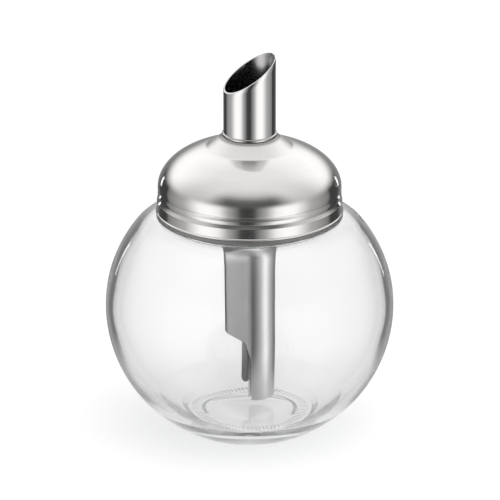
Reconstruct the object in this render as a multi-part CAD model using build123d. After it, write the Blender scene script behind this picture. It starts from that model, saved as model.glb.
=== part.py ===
from build123d import *
import os
from math import acos, asin, atan2, cos, degrees, dist, sin, sqrt, tan

# Sugar dispenser: a ball-shaped glass jar, a twist-off steel lid and a dosing tube with a gravity flap.
# Millimetres, +Z up. Origin at the centre of the base, on the table. +X is where the spout's tip points.
# The lid is modelled turned open, with its lugs between the ridges on the glass.

# --- glass jar ---
ball_radius = 50.0            # widest outside radius
ball_flat_top = 2.5           # how much lower than a true ball its top is, were it whole
ball_flat_bottom = 0.8
base_cut = 5.0                # what the flat base cuts off the ball
glass_wall = 2.7              # ball, shoulder and neck
base_thickness = 7.2
standing_width = 5.0          # ring that the jar stands on, before its heel is rounded
hollow_depth = 1.3            # hollow inside that ring
heel_round = 4.0              # standing ring to ball
floor_spread = 2.5            # inner floor's radius over the standing ring's
floor_round = 5.0             # inner floor to the slope round it
slope_rise = 5.8              # that slope's height, up to where the ball's wall begins
slope_round = 9.0             # slope to ball, inside
shoulder_inset = 10.0         # the ball turns into the shoulder this far inside the widest radius
shoulder_height = 4.9         # from there up to the foot of the neck
shoulder_ledge = 2.8          # flat ring round the foot of the neck
neck_radius = 27.7
neck_height = 11.8
neck_root_round = 1.2
neck_mouth_round = 2.2        # shoulder to neck, inside
rim_round = 0.8

# --- twist-off closure: ridges on the glass, lugs in the insert ---
ridge_count = 4
ridge_span = 46.0             # degrees of turn that one ridge covers
ridge_drop = 7.1              # rim to the ridges' underside
ridge_height = 1.8
ridge_depth = 1.4
ridge_slope = 0.35            # how far the ridges' faces lean
lug_span = 28.0
lug_height = 1.6
lug_drop = 0.3                # lug to ridge, when turned shut
neck_gap = 0.5                # lug to neck, and ridge to insert

# --- insert and seal in the lid ---
insert_wall = 1.1
insert_gap = 0.1              # insert to lid
insert_flange = 1.2
insert_lip = 4.0              # how far the flange reaches in over the neck's bore
insert_drop = 0.3             # insert to the rolled edge
seal_thickness = 0.8
seal_gap = 0.03               # seal to glass, and seal to insert
seal_inset = 0.4              # seal's bore, inside the neck's bore
seal_play = 0.7               # seal to insert, round the outside

# --- lid, from its rolled edge up to the spout ---
sheet = 0.5
hem_lift = 0.2                # foot of the neck to the rolled edge
hem_radius = 0.65             # of the rolled edge's section
skirt_step = 0.3              # skirt's radius over the dome's
lower_groove = 1.4            # height of the groove between skirt and bead
bead_height = 2.1
upper_groove = 0.9            # height of the groove between bead and dome
groove_depth = 0.5
groove_slope = 0.5            # height of each sloping side of the lower groove
crease_round = 0.25
dome_side = 4.8               # straight side, up to where side and slope would meet
dome_headroom = 0.64          # top of the insert to there
dome_edge_round = 6.6
dome_slope = 8.8              # run of the slope, from side to flat ring
dome_rise = 7.85              # and its rise
crown_round = 6.0             # slope to flat ring
cone_foot_round = 5.0         # flat ring to cone
cone_run = 8.6                # run of the cone, from flat ring to hole
cone_rise = 6.65

# --- dosing tube, from its foot up to the spout's tip ---
tube_radius = 9.07
tube_wall = 0.6
channel_radius = 4.53
channel_lift = 2.8            # jar's floor to the channel's foot
channel_cut_angle = 11.0      # slope of the cut at the channel's foot
lip_lift = 5.0                # channel's foot to the lip's foot
lip_reach = 2.8               # the wing's back sheet goes on below as a lip beside the channel
lip_round = 1.8
wing_thickness = 1.3
wing_fold_round = 2.0         # wing to channel
wing_end_lift = 7.9           # lip's foot to where the wing's front sheet runs out
wing_foot_lift = 7.0          # from there up to the bend in the wing's sloping edge
wing_foot_reach = 2.0         # channel to that bend
wing_foot_round = 3.0
wing_corner_lift = 4.9        # bend to the wing's lower outer corner
wing_corner_round = 2.5
wing_height = 28.2            # outer corner to the funnel
funnel_height = 10.0          # squeezed below, round above
spout_height = 22.1           # top of the cone to where the slanted cut crosses the axis
mouth_angle = 34.0            # slope of the cut, rising towards the tip

# --- collar, seal and retainer that hold the tube in the lid ---
hole_gap = 0.08               # tube to lid
ring_gap = 0.03               # collar, seal and retainer to tube
stack_gap = 0.03              # between lid, seal and retainer
collar_width = 0.5
collar_height = 0.8
collar_round = 0.4
spout_seal_thickness = 0.9
spout_seal_width = 3.5
retainer_step = 1.0           # retainer's radius over the seal's
retainer_flange = 1.0
retainer_sleeve = 1.0
retainer_height = 6.0

# --- flap in the tube ---
flap_drop = 0.4               # jar's rim to the flap
flap_gap = 0.5                # disc to tube
flap_thickness = 0.5
flap_offset = 2.4             # pin to the middle of the disc
pin_radius = 0.75
pin_gap = 0.05                # pin to knuckle
pin_press = 0.01              # pin to tube
pin_overhang = 1.0            # past the tube, each side
pin_chamfer = 0.2
knuckle_wall = 0.55
knuckle_gap = 0.8             # knuckle's ends to the tube
stop_height = 0.8             # ledge that the shut flap rests on
stop_width = 5.0
stop_reach = 1.3
stop_gap = 0.08

# --- jar, worked out ---
ball_rise_top = ball_radius - ball_flat_top
ball_rise_bottom = ball_radius - ball_flat_bottom
ball_centre_z = ball_rise_bottom - base_cut
foot_radius = ball_radius * sqrt(1 - (ball_centre_z / ball_rise_bottom) ** 2)
hollow_radius = foot_radius - standing_width
floor_radius = foot_radius + floor_spread
shoulder_turn = acos(1 - shoulder_inset / ball_radius)
shoulder_radius = neck_radius + shoulder_ledge
neck_foot_z = ball_centre_z + ball_rise_top * sin(shoulder_turn) + shoulder_height
neck_bore = neck_radius - glass_wall
rim_z = neck_foot_z + neck_height
ridge_radius = neck_radius + ridge_depth
ridge_bottom_z = rim_z - ridge_drop
ridge_pitch = 360 / ridge_count

# --- lid, worked out ---
lug_radius = neck_radius + neck_gap
insert_bore = ridge_radius + neck_gap
insert_radius = insert_bore + insert_wall
seal_z = rim_z + seal_gap
flange_z = seal_z + seal_thickness + seal_gap
insert_top_z = flange_z + insert_flange
hem_z = neck_foot_z + hem_lift
groove_radius = insert_radius + insert_gap + sheet
dome_radius = groove_radius + groove_depth
skirt_radius = dome_radius + skirt_step
dome_edge_z = insert_top_z + dome_headroom
dome_foot_z = dome_edge_z - dome_side
bead_top_z = dome_foot_z - upper_groove
bead_bottom_z = bead_top_z - bead_height
skirt_top_z = bead_bottom_z - lower_groove
crown_z = dome_edge_z + dome_rise
cone_top_z = crown_z + cone_rise
cone_angle = atan2(cone_rise, cone_run)

# --- tube, worked out ---
tube_bore = tube_radius - tube_wall
channel_bore = channel_radius - tube_wall
channel_x = tube_radius - channel_radius
channel_edge = channel_x - channel_radius
channel_foot_z = base_thickness + channel_lift
lip_z = channel_foot_z + lip_lift
wing_end_z = lip_z + wing_end_lift
wing_foot_z = wing_end_z + wing_foot_lift
wing_corner_z = wing_foot_z + wing_corner_lift
funnel_bottom_z = wing_corner_z + wing_height
funnel_top_z = funnel_bottom_z + funnel_height
mouth_z = cone_top_z + spout_height
ring_bore = tube_radius + ring_gap
hole_radius = tube_radius + hole_gap
spout_seal_radius = ring_bore + spout_seal_width
flap_z = rim_z - flap_drop

SEAT = (Align.CENTER, Align.CENTER, Align.MIN)
ROUND_SHARE = 0.98                 # how much of a straight side the roundings at its ends may use
far = 2 * (ball_radius + mouth_z)  # longer than any piece that it trims
lap = sheet / 2                    # how far joined shapes run into each other


def rounded(outline, corners):
    """Round corners of a closed outline, each given as (radius, height, rounding)."""
    face = make_face(outline)
    for x, z, size in corners:
        face = fillet(face.vertices().sort_by_distance((x, z))[0], size)
    return face


def lathe(face):
    """Turn a flat shape, drawn as radius and height, about the upright axis."""
    return revolve(Plane.XZ * face, Axis.Z)


def sector(face, span, middle):
    """Turn such a shape through part of a circle, centred on a direction in degrees."""
    turned = revolve(Plane.XZ * face, Axis.Z, revolution_arc=span)
    return Rot(0, 0, middle - span / 2) * turned


def upright(radius, bottom, top, x=0.0):
    """A solid cylinder along Z."""
    return Pos(x, 0, bottom) * Cylinder(radius, top - bottom, align=SEAT)


def ball_side(inset, low_z, neck):
    """Jar side from a low height up to the foot of the neck, at a depth below the outer face."""
    radius = ball_radius - inset
    centre = (0, ball_centre_z)
    start = degrees(asin((low_z - ball_centre_z) / (ball_rise_bottom - inset)))
    lower = EllipticalCenterArc(centre, radius, ball_rise_bottom - inset, start, arc_size=-start)
    upper = EllipticalCenterArc(centre, radius, ball_rise_top - inset, 0, arc_size=degrees(shoulder_turn))
    top = (shoulder_radius, neck_foot_z - inset)
    shoulder = TangentArc(upper @ 1, top, tangent=upper % 1)
    return lower + upper + shoulder + Line(top, (neck, top[1]))


def make_glass_jar():
    """Ball, shoulder and neck as one glass, with the ridges that the lid's lugs turn under."""
    outer_side = ball_side(0, 0, neck_radius)
    outer = rounded(
        outer_side + Polyline(outer_side @ 1, (neck_radius, rim_z), (neck_bore, rim_z), (0, rim_z),
                              (0, 0), outer_side @ 0),
        [(neck_radius, neck_foot_z, neck_root_round), (neck_radius, rim_z, rim_round),
         (foot_radius, 0, heel_round)])
    wall_z = base_thickness + slope_rise
    inner_side = ball_side(glass_wall, wall_z, neck_bore)
    inner = rounded(
        inner_side + Polyline(inner_side @ 1, (neck_bore, far), (0, far), (0, base_thickness),
                              (floor_radius, base_thickness), inner_side @ 0),
        [(floor_radius, base_thickness, floor_round), ((inner_side @ 0).X, wall_z, slope_round),
         (neck_bore, neck_foot_z - glass_wall, neck_mouth_round)])
    hollow = make_face(Polyline((0, 0), (hollow_radius, 0), (hollow_radius - hollow_depth, hollow_depth),
                                (0, hollow_depth), close=True))
    jar = lathe(outer) - lathe(inner) - lathe(hollow)
    ridge_top_z = ridge_bottom_z + ridge_height
    ridge = make_face(Polyline((neck_radius - lap, ridge_bottom_z), (neck_radius, ridge_bottom_z),
                               (ridge_radius, ridge_bottom_z + ridge_slope),
                               (ridge_radius, ridge_top_z - ridge_slope),
                               (neck_radius, ridge_top_z), (neck_radius - lap, ridge_top_z), close=True))
    for number in range(ridge_count):
        jar += sector(ridge, ridge_span, number * ridge_pitch)
    return jar


def within_sides(points, sizes):
    """Limit the roundings of a line's inner corners to what its straight sides hold."""
    turns = []
    for before, corner, after in zip(points, points[1:], points[2:]):
        arriving = atan2(corner[1] - before[1], corner[0] - before[0])
        leaving = atan2(after[1] - corner[1], after[0] - corner[0])
        turns.append(abs(leaving - arriving))
    used = [0] + [size * tan(turn / 2) for size, turn in zip(sizes, turns)] + [0]
    room = [dist(start, end) / (before + after)
            for start, end, before, after in zip(points, points[1:], used, used[1:])]
    return [size * min(1, ROUND_SHARE * before, ROUND_SHARE * after)
            for size, before, after in zip(sizes, room, room[1:])]


def lid_line():
    """Outer face of the lid from the skirt up to the spout's hole."""
    crown_radius = dome_radius - dome_slope
    cone_foot_radius = hole_radius + cone_run
    corners = [
        (skirt_radius, skirt_top_z, crease_round),
        (groove_radius, skirt_top_z + groove_slope, crease_round),
        (groove_radius, bead_bottom_z - groove_slope, crease_round),
        (dome_radius, bead_bottom_z, crease_round),
        (dome_radius, bead_top_z, crease_round),
        (groove_radius, (bead_top_z + dome_foot_z) / 2, crease_round),
        (dome_radius, dome_foot_z, crease_round),
        (dome_radius, dome_edge_z, dome_edge_round),
        (crown_radius, crown_z, crown_round),
        (cone_foot_radius, crown_z, cone_foot_round),
    ]
    points = [(skirt_radius, hem_z + hem_radius)]
    points += [(radius, height) for radius, height, size in corners]
    points += [(hole_radius, cone_top_z)]
    sizes = within_sides(points, [size for radius, height, size in corners])
    return Wire(FilletPolyline(*points, radius=sizes).edges())


def make_cap_shell():
    """Lid pressed from one sheet, with a rolled edge below and the tube's hole above."""
    skin = lid_line().offset_2d(sheet, side=Side.LEFT, kind=Kind.INTERSECTION)
    shell = lathe(make_face(skin)) - upright(hole_radius, 0, far)
    hem = Pos(skirt_radius - hem_radius, hem_z + hem_radius) * Circle(hem_radius)
    return shell + lathe(hem)


def make_cap_insert():
    """Moulded ring in the lid, with the lugs that turn under the glass's ridges."""
    bottom = hem_z + 2 * hem_radius + insert_drop
    opening = neck_bore - insert_lip
    insert = lathe(make_face(Polyline(
        (insert_bore, bottom), (insert_radius, bottom), (insert_radius, insert_top_z),
        (opening, insert_top_z), (opening, flange_z), (insert_bore, flange_z), close=True)))
    lug_top = ridge_bottom_z - lug_drop
    lug = make_face(Polyline(
        (lug_radius, lug_top - lug_height), (insert_bore + lap, lug_top - lug_height),
        (insert_bore + lap, lug_top), (lug_radius, lug_top), close=True))
    for number in range(ridge_count):
        insert += sector(lug, lug_span, (number + 0.5) * ridge_pitch)
    return insert


def make_rim_seal():
    """Flat ring between the glass's rim and the insert."""
    ring = upright(insert_bore - seal_play, seal_z, seal_z + seal_thickness)
    return ring - upright(neck_bore - seal_inset, 0, far)


def squeezed_section():
    """Cross-section of the squeezed tube: a round channel with a flat wing beside it."""
    channel = Pos(channel_x, 0) * Circle(channel_radius)
    wing = Pos(-tube_radius, 0) * Rectangle(
        tube_radius + channel_x, wing_thickness, align=(Align.MIN, Align.CENTER))
    joined = Sketch() + [channel + wing]
    folds = joined.vertices().filter_by_position(Axis.X, lap - tube_radius, channel_x)
    return fillet(folds, wing_fold_round)


def funnel(top_radius, bottom_radius):
    """Slanting cone between the round tube and the channel."""
    return loft([Pos(0, 0, funnel_top_z) * Circle(top_radius),
                 Pos(channel_x, 0, funnel_bottom_z) * Circle(bottom_radius)])


def wing_outline():
    """Side view of the front sheet: wing with its sloping foot, and the channel below it."""
    outside = -tube_radius - lap
    foot_x = channel_edge - wing_foot_reach
    return rounded(
        Polyline((outside, funnel_top_z), (outside, wing_corner_z), (foot_x, wing_foot_z),
                 (channel_edge, wing_end_z), (channel_edge, 0), (tube_radius + lap, 0),
                 (tube_radius + lap, funnel_top_z), close=True),
        [(outside, wing_corner_z, wing_corner_round), (foot_x, wing_foot_z, wing_foot_round)])


def lip_outline():
    """Side view of the back sheet's lip, beside the channel."""
    outside = channel_edge - lip_reach
    return rounded(
        Polyline((outside, wing_corner_z), (outside, lip_z), (channel_x, lip_z),
                 (channel_x, wing_corner_z), close=True),
        [(outside, lip_z, lip_round)])


def make_dosing_tube():
    """Spout and dosing tube in one: round through the lid, squeezed flat to a channel below."""
    prism = extrude(squeezed_section(), funnel_top_z)
    front = extrude(Plane.XZ * wing_outline(), far, both=True)
    back = extrude(Plane.XZ * lip_outline(), -far)
    squeezed = prism & (front + back)

    foot_cut = Pos(channel_x, 0, channel_foot_z) * Rot(0, -channel_cut_angle, 0) * Box(
        far, far, far, align=(Align.CENTER, Align.CENTER, Align.MAX))
    mouth_cut = Pos(0, 0, mouth_z) * Rot(0, -mouth_angle, 0) * Box(far, far, far, align=SEAT)
    top = mouth_z + 2 * tube_radius

    outside = squeezed + funnel(tube_radius, channel_radius) + upright(tube_radius, funnel_top_z, top)
    inside = upright(channel_bore, 0, funnel_bottom_z, channel_x)
    inside += funnel(tube_bore, channel_bore)
    inside += upright(tube_bore, funnel_top_z, top)
    ledge_top = flap_z - flap_thickness / 2 - stop_gap
    ledge = Pos(stop_reach - tube_bore, 0, ledge_top) * Box(
        stop_reach + lap, stop_width, stop_height, align=(Align.MAX, Align.CENTER, Align.MAX))
    pin_hole = Pos(flap_offset, 0, flap_z) * Rot(90, 0, 0) * Cylinder(pin_radius + pin_press, far)
    return outside - inside + ledge - foot_cut - mouth_cut - pin_hole


def make_tube_collar():
    """Bead round the tube where it leaves the lid."""
    outside = ring_bore + collar_width
    bottom = cone_top_z + stack_gap
    top = bottom + collar_height
    return lathe(rounded(
        Polyline((ring_bore, bottom), (outside, bottom), (outside, top), (ring_bore, top), close=True),
        [(outside, top, collar_round)]))


def under_lid(radius, depth):
    """Height at a radius of the surface that lies a given depth below the cone's outer face."""
    return cone_top_z - (radius - hole_radius) * tan(cone_angle) - depth / cos(cone_angle)


def make_spout_seal():
    """Ring under the cone, squeezed between lid and retainer."""
    top = sheet + stack_gap
    bottom = top + spout_seal_thickness
    return lathe(make_face(Polyline(
        (ring_bore, under_lid(ring_bore, top)), (spout_seal_radius, under_lid(spout_seal_radius, top)),
        (spout_seal_radius, under_lid(spout_seal_radius, bottom)),
        (ring_bore, under_lid(ring_bore, bottom)), close=True)))


def make_tube_retainer():
    """Flanged sleeve that grips the tube from inside the lid."""
    top = sheet + spout_seal_thickness + 2 * stack_gap
    bottom = top + retainer_flange
    sleeve = ring_bore + retainer_sleeve
    radius = spout_seal_radius + retainer_step
    foot = under_lid(ring_bore, top) - retainer_height
    return lathe(make_face(Polyline(
        (ring_bore, under_lid(ring_bore, top)), (radius, under_lid(radius, top)),
        (radius, under_lid(radius, bottom)), (sleeve, under_lid(sleeve, bottom)),
        (sleeve, foot), (ring_bore, foot), close=True)))


def make_flap_disc():
    """Disc with a knuckle across it, hung beside its middle so that it falls shut."""
    disc_radius = tube_bore - flap_gap
    knuckle_radius = pin_radius + pin_gap + knuckle_wall
    knuckle_length = 2 * (sqrt(tube_bore ** 2 - (flap_offset + knuckle_radius) ** 2) - knuckle_gap)
    disc = Pos(0, 0, flap_z) * Cylinder(disc_radius, flap_thickness)
    across = Pos(flap_offset, 0, flap_z) * Rot(90, 0, 0)
    return disc + across * Cylinder(knuckle_radius, knuckle_length) - across * Cylinder(
        pin_radius + pin_gap, far)


def make_flap_pin():
    """Pin through both walls of the tube."""
    pin = Cylinder(pin_radius, 2 * (tube_radius + pin_overhang))
    return Pos(flap_offset, 0, flap_z) * Rot(90, 0, 0) * chamfer(pin.edges(), pin_chamfer)


def main():
    """Make every piece and write each one to a STEP file of its own."""
    pieces = {
        "glass_jar": make_glass_jar(),
        "cap_shell": make_cap_shell(),
        "cap_insert": make_cap_insert(),
        "rim_seal": make_rim_seal(),
        "dosing_tube": make_dosing_tube(),
        "tube_collar": make_tube_collar(),
        "spout_seal": make_spout_seal(),
        "tube_retainer": make_tube_retainer(),
        "flap_disc": make_flap_disc(),
        "flap_pin": make_flap_pin(),
    }
    os.makedirs("parts", exist_ok=True)
    for name, solid in pieces.items():
        export_step(solid, f"parts/{name}.step")


main()
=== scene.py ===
from math import acos, atan2, cos, degrees, pi, radians, sin, sqrt, tan

import bpy
import numpy as np
from bpy.props import FloatProperty, FloatVectorProperty, IntProperty, PointerProperty
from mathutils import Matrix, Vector


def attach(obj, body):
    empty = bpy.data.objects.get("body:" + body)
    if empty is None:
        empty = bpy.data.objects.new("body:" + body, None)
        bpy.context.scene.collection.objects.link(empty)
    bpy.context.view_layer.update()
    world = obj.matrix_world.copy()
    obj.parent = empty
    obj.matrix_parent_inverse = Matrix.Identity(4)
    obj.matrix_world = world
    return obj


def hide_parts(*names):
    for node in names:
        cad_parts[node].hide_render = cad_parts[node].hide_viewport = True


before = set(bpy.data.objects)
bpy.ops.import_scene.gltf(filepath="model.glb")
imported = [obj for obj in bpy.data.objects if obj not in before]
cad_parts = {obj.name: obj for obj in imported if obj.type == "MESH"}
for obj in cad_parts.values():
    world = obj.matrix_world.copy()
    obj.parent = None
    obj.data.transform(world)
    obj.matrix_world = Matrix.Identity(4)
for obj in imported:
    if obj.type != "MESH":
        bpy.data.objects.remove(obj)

bl_info = {
    "name": "Sugar Dispenser",
    "version": (1, 0, 0),
    "blender": (4, 5, 0),
    "location": "3D View > Sidebar > Dispenser",
    "description": "Dresses a glass sugar dispenser with a steel lid and a dosing tube",
    "category": "Add Mesh",
}

# Shapes are drawn in millimetres and meshes are made in metres.
MM = 0.001

# --- jar ---
BALL_RADIUS = 50.0
BALL_RISE_TOP = 47.5
BALL_RISE_BOTTOM = 49.2
BALL_CENTRE = 44.2
WALL = 2.7
BASE = 7.2
FLOOR_RADIUS = 24.46
FLOOR_ROUND = 2.0
SLOPE_TOP = 9.8
SLOPE_ROUND = 3.0
SHOULDER_INSET = 10.0
SHOULDER_RADIUS = 30.5
NECK_FOOT = 77.6
NECK_FOOT_ROUND = 1.2
NECK_RADIUS = 27.7
MOUTH_ROUND = 2.2
RIM = 89.4
HEEL_ROUND = 2.4
HOLLOW_RADIUS = 16.96
HOLLOW_DEPTH = 1.3
HOLLOW_ROUND = 0.5
RING_ROUND = 0.4
RING_RADIUS = 18.0
RIDGE_BOTTOM = 82.3
RIDGE_TOP = 84.1
RIDGE_DEPTH = 1.4
RIDGE_RISE = 0.45
# Round the neck, in degrees.
RIDGE_SPAN = 46.0
RIDGE_RUN_OUT = 2.5
# The teeth rise between the first two radii and run out between the last two.
TEETH_START = (17.2, 17.8)
TEETH_END = (20.2, 20.9)
POINTS_PER_TOOTH = 5
# Waves inside the glass: strength, lobes round the axis, turn in radians per millimetre of height, start.
WAVES = [(1.0, 3, 0.11, 0.0), (0.6, 5, -0.07, 1.3), (0.5, 2, 0.19, 2.1), (0.5, 0, 0.33, 0.0)]

# --- lid ---
SHEET = 0.5
SKIRT_RADIUS = 32.1
SKIRT_TOP = 82.9
BAND_RADIUS = 32.35
BAND_BOTTOM = 77.0
BAND_TOP = 78.9
GROOVE_RADIUS = 31.3
BEAD_BOTTOM = 84.2
BEAD_TOP = 85.5
CREASE = 0.25
DOME_RADIUS = 31.8
DOME_FOOT = 87.0
DOME_RISE = 6.6
DOME_SHOULDER = (25.6, 99.6)
CONE_FOOT_RADIUS = 15.0
CONE_FOOT_ROUND = 2.4
CONE_SLOPE = 0.773
CONE_TOP = 106.6
HOLE_RADIUS = 9.15
LID_POINTS = 360
# Radii over which the painted shadow at the spout's foot and the rubbed zone round the spout fade out.
FOOT_SHADOW_FADE = (9.8, 11.0)
RUBBED_FADE = (11.5, 20.0)

# --- tube ---
TUBE_RADIUS = 9.07
TUBE_WALL = 0.6
CHANNEL_RADIUS = 4.53
CHANNEL_X = TUBE_RADIUS - CHANNEL_RADIUS
CHANNEL_EDGE = CHANNEL_X - CHANNEL_RADIUS
CHANNEL_FOOT = 10.0
CHANNEL_SLOPE = tan(radians(11.0))
CHANNEL_STEP = 0.4
LIP_FOOT = 15.0
LIP_EDGE = CHANNEL_EDGE - 2.8
LIP_ROUND = 1.8
WING_HALF = 0.65
FOLD_ROUND = 2.0
WING_END = 22.9
WING_FOOT = 29.9
WING_FOOT_X = CHANNEL_EDGE - 2.0
WING_FOOT_ROUND = 3.0
WING_CORNER = 34.8
WING_CORNER_ROUND = 2.5
FUNNEL_BOTTOM = 63.0
FUNNEL_TOP = 73.0
FUNNEL_MARGIN = 3.0
MOUTH = 128.7
MOUTH_SLOPE = tan(radians(34.0))
STOP_TOP = 88.67
STOP_HEIGHT = 0.8
STOP_WIDTH = 5.0
STOP_REACH = 1.3
STOP_CHAMFER = 0.3
# Rows of points below the funnel, in it and above it.
TUBE_ROWS = (34, 26, 30)
# Rounded edges of the sheet: share of its thickness from the outer face, and distance back from the edge.
EDGE_ROUND = 0.14
MOUTH_EDGE = [(0.06, 0.04), (0.2, 0.0), (0.8, 0.0), (0.94, 0.04)]
FOOT_EDGE = [(0.94, 0.04), (0.8, 0.0), (0.2, 0.0), (0.06, 0.04)]

# --- floor ---
FLOOR_REACH = 600.0
FLOOR_DROP = 0.05
FLOOR_SIDES = 96

# --- lamp and view: lens and film in millimetres, turn and rise in degrees, the rest in metres ---
LAMP_PLACE = (0.1, -0.1, 1.0)
LAMP_SIZE = 0.9
VIEW_TURN = 16.5
VIEW_RISE = 20.0
LENS = 500.0
FILM = 36.0
FRAME_WIDTH = 0.17336
AIM_HEIGHT = 0.064
AIM_RIGHT = 0.00014

# --- room, as gloss sees it: levels at angles in degrees ---
# Round the object from the camera's side to the back, at about the object's own height.
LOW_ROOM = [(0, .05), (8, .07), (15, .26), (24, .48), (36, 1.1), (48, 1.25), (62, 1.2), (74, .8), (84, .5),
            (102, .36), (113, .27), (118, .2), (121, .05), (144, .06), (156, .22), (180, .34)]
# From level to straight up: in front of the object, at its sides and behind it.
FRONT_ROOM = [(0, .1), (32, .12), (42, .2), (50, .42), (58, .66), (66, .8), (76, .92), (90, .96)]
SIDE_ROOM = [(0, .55), (24, .66), (38, .76), (58, .88), (90, .96)]
BACK_ROOM = [(0, 1.1), (30, 1.27), (46, 1.14), (62, 1.0), (90, .96)]
# Round the object, as the tube inside the glass sees it, and as the far wall of the glass does.
TUBE_ROOM = [(0, 1.6), (14, 1.4), (34, .76), (56, .48), (80, .25), (104, .08), (140, .05), (180, .08)]
TUBE_BACK = 0.92
WALL_ROOM = [(0, .6), (40, .95), (100, .9), (134, .5), (147, .16), (157, .14), (167, .44), (180, .8)]
WALL_FLOOR = 0.84
# Two narrow windows at the sides: middle and half width round the object, then the same in height.
WINDOW = (145.5, 1.1, -3.5, 5.5)
WINDOW_COLOUR = (3.4, 3.4, 3.5)
# A colour ramp ends at 1, so every level is halved first and doubled last.
HALVED = 0.5


# ---------------- lines ----------------

def rounded_line(points, steps=6):
    """Points of a line whose corners, given as (x, y, rounding), are turned into arcs."""
    line = []
    for number, point in enumerate(points):
        corner = Vector(point[:2])
        size = point[2] if len(point) > 2 else 0
        if not size:
            line.append(tuple(corner))
            continue
        before = (Vector(points[number - 1][:2]) - corner).normalized()
        after = (Vector(points[(number + 1) % len(points)][:2]) - corner).normalized()
        half = before.angle(after) / 2
        centre = corner + (before + after).normalized() * (size / sin(half))
        start = corner + before * (size / tan(half)) - centre
        end = corner + after * (size / tan(half)) - centre
        sweep = start.angle(end)
        for step in range(steps + 1):
            share = step / steps
            turned = (start * sin((1 - share) * sweep) + end * sin(share * sweep)) / sin(sweep)
            line.append(tuple(centre + turned))
    return line


def arc_line(centre, radius, start, end, steps):
    """Points on an arc between two angles in degrees."""
    angles = np.radians(np.linspace(start, end, steps + 1))
    return [(centre[0] + radius * cos(angle), centre[1] + radius * sin(angle)) for angle in angles]


def bezier_line(points, steps):
    """Points on a curve with two end points and two handles between them."""
    a, b, c, d = [np.array(point) for point in points]
    shares = np.linspace(0, 1, steps + 1)
    return [tuple((1 - t) ** 3 * a + 3 * t * (1 - t) ** 2 * b + 3 * t * t * (1 - t) * c + t ** 3 * d)
            for t in shares]


def beside(line, distance):
    """The same line, moved to its left by a distance."""
    points = np.array(line)
    forward = np.diff(points, axis=0)
    forward /= np.linalg.norm(forward, axis=1)[:, None]
    left = np.stack([-forward[:, 1], forward[:, 0]], axis=1)
    first = np.vstack([left[:1], left])
    second = np.vstack([left, left[-1:]])
    middle = first + second
    middle /= np.linalg.norm(middle, axis=1)[:, None]
    stretch = distance / np.maximum(np.einsum("ij,ij->i", middle, second), 0.5)
    return [tuple(point) for point in points + middle * stretch[:, None]]


def soft_step(value, start, end):
    """0 before start, 1 after end, and smooth between."""
    share = np.clip((value - start) / (end - start), 0, 1)
    return share * share * (3 - 2 * share)


# ---------------- meshes ----------------

def new_piece(name, points, faces, sharp=40.0):
    """Mesh object from points in millimetres, smooth but for edges that turn by more than an angle."""
    mesh = bpy.data.meshes.new(name)
    mesh.from_pydata([tuple(point) for point in np.asarray(points) * MM], [], faces)
    mesh.validate()
    mesh.update()

    def per_face(kind, width):
        """Values of one kind for every face, a row to a face."""
        values = np.zeros(len(mesh.polygons) * width)
        mesh.polygons.foreach_get(kind, values)
        return values.reshape(-1, width)

    # The faces of a closed shape point outward when the volume that they enclose is above zero.
    volume = per_face("center", 3) * per_face("normal", 3) * per_face("area", 1)
    if volume.sum() < 0:
        mesh.flip_normals()
    mesh.set_sharp_from_angle(angle=radians(sharp))
    piece = bpy.data.objects.new(name, mesh)
    bpy.context.scene.collection.objects.link(piece)
    return piece


def joined_rings(rings):
    """Faces from each ring of point numbers to the next, with the last ring joined to the first."""
    faces = []
    for ring, above in zip(rings, rings[1:] + rings[:1]):
        for step in range(len(ring)):
            following = (step + 1) % len(ring)
            corners = [ring[step], ring[following], above[following], above[step]]
            # A ring on the axis is one point over and over, so its faces have three corners.
            face = list(dict.fromkeys(corners))
            if len(face) > 2:
                faces.append(face)
    return faces


def turned_mesh(profile, segments, bend=None):
    """Points and faces of a closed (radius, height) outline turned about the upright axis."""
    angles = np.arange(segments) * 2 * pi / segments
    points = []
    rings = []
    for number, (radius, height) in enumerate(profile):
        start = len(points)
        if radius == 0:
            points.append((0.0, 0.0, height))
            rings.append([start] * segments)
            continue
        reach = np.full(segments, radius)
        level = np.full(segments, height)
        if bend:
            reach, level = bend(number, angles, reach, level)
        points.extend(zip(reach * np.cos(angles), reach * np.sin(angles), level))
        rings.append(list(range(start, start + segments)))
    return points, joined_rings(rings)


# ---------------- jar ----------------

def ball_line(inset, floor, rounding, steps=50):
    """Side of the ball from the round at its floor up to the edge of the neck's foot."""
    radius = BALL_RADIUS - inset
    turn = acos(1 - SHOULDER_INSET / BALL_RADIUS)

    def place(angle):
        """Point of the ball's side at an angle above its middle, and the direction out of it."""
        rise = (BALL_RISE_TOP if angle > 0 else BALL_RISE_BOTTOM) - inset
        spot = Vector((radius * cos(angle), BALL_CENTRE + rise * sin(angle)))
        outward = Vector((cos(angle) / radius, sin(angle) / rise)).normalized()
        return spot, outward

    # Halve the range until the round touches both the floor and the ball.
    low, high = -pi / 2, 0.0
    for _ in range(60):
        angle = (low + high) / 2
        spot, outward = place(angle)
        if spot.y - rounding * outward.y < floor + rounding:
            low = angle
        else:
            high = angle
    spot, outward = place(angle)
    centre = spot - rounding * outward
    heel = arc_line(centre, rounding, -90, degrees(atan2(outward.y, outward.x)), 10)
    side = [tuple(place(step)[0]) for step in np.linspace(angle, turn, steps + 1)[1:]]

    # The shoulder's arc leaves the ball without a corner and ends at the neck's foot.
    spot, outward = place(turn)
    top = Vector((SHOULDER_RADIUS, NECK_FOOT - inset))
    size = (spot - top).length_squared / (2 * outward.dot(spot - top))
    centre = spot - size * outward
    first = atan2(outward.y, outward.x)
    last = atan2(top.y - centre.y, top.x - centre.x)
    shoulder = arc_line(centre, size, degrees(first), degrees(last), 10)[1:]
    return heel + side + shoulder


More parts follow.
